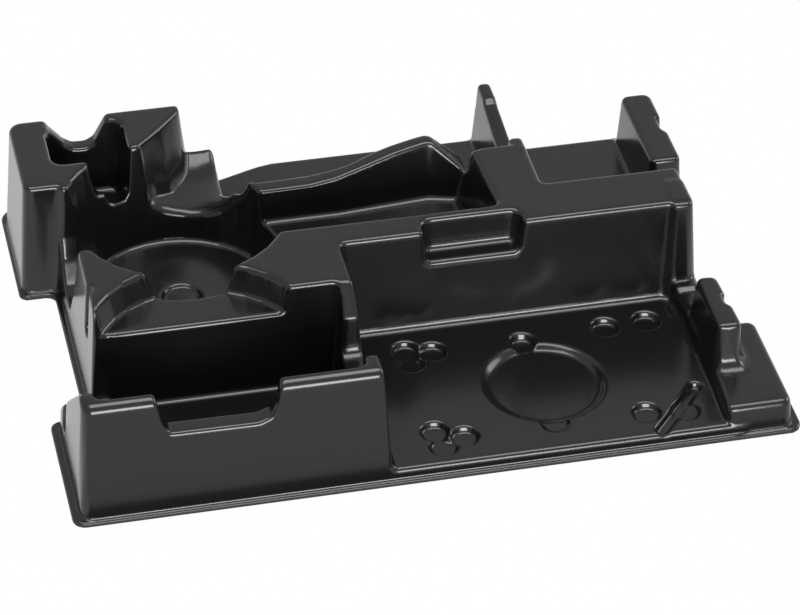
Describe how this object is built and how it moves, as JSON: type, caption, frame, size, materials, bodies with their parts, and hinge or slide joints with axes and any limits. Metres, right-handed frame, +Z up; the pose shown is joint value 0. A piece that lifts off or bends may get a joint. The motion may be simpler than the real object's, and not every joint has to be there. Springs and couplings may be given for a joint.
{
  "type": "tool case insert",
  "caption": "Vacuum-formed black plastic tray that holds a power tool and its accessories inside a carrying case",
  "frame": {"origin": "centre of the bounding box in plan, at the underside of the rim the insert rests on", "axes": "X along the length, left to right as seen from the front; Y from the front with the finger notch to the back; Z up"},
  "size_m": [0.376, 0.268, 0.068],
  "materials": {
    "insert": "satin black thermoformed sheet"
  },
  "bodies": {
    "root": {"insert": "insert"}
  },
  "joints": []
}
